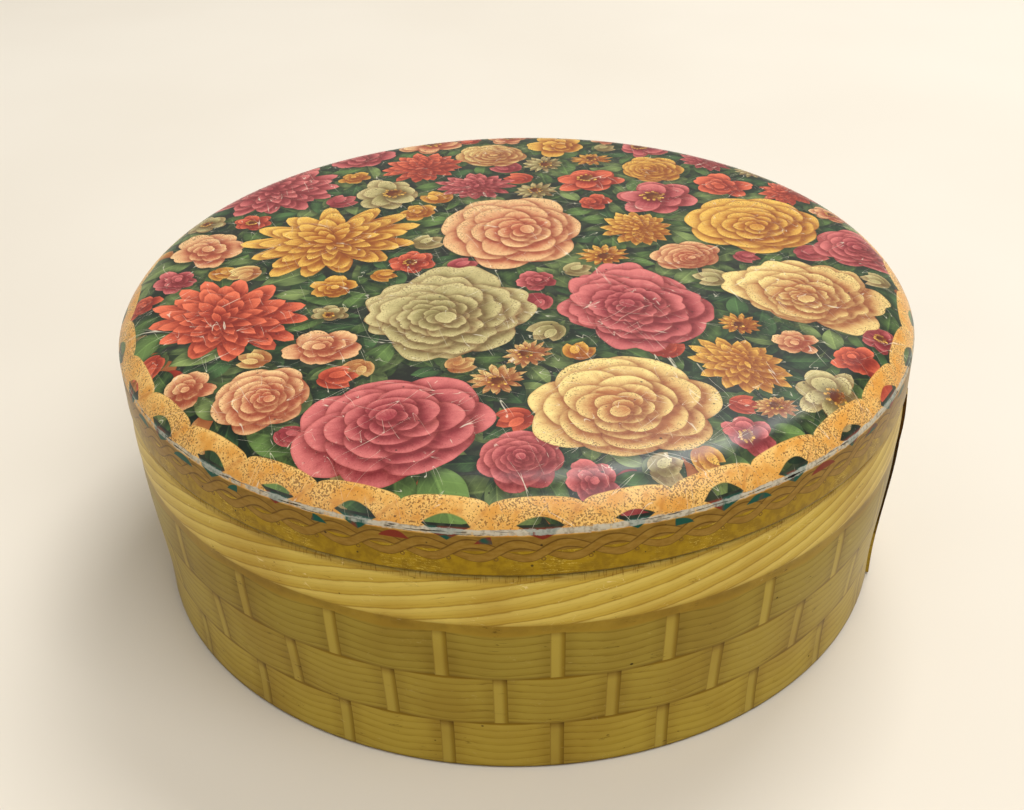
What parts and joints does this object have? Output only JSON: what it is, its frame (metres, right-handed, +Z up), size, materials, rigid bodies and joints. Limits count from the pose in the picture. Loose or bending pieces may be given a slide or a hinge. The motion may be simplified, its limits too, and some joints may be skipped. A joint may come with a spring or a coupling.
{
  "type": "biscuit tin",
  "caption": "Round tinplate biscuit tin with a domed lift-off lid, a curled hem and rim, a gently barrelled wall with a side seam, and a recessed base hooked into the foot.",
  "frame": {"origin": "on the table, at the middle of the foot", "axes": "+Z up along the tin's axis; -Y is the side that the picture shows"},
  "size_m": [0.24, 0.24, 0.0953],
  "materials": {
    "lid_print": "glossy lacquered print, worn at the edge",
    "wall_print": "satin lacquered print",
    "bare_tinplate": "dull bare tinplate"
  },
  "bodies": {
    "tin": {"body_wall": "wall_print", "base": "bare_tinplate"},
    "lid": {"lid": "lid_print"}
  },
  "joints": [
    {"name": "lid_lift", "type": "slide", "parent": "tin", "child": "lid", "axis": [0, 0, 1], "range_m": [0, 0.1]}
  ]
}
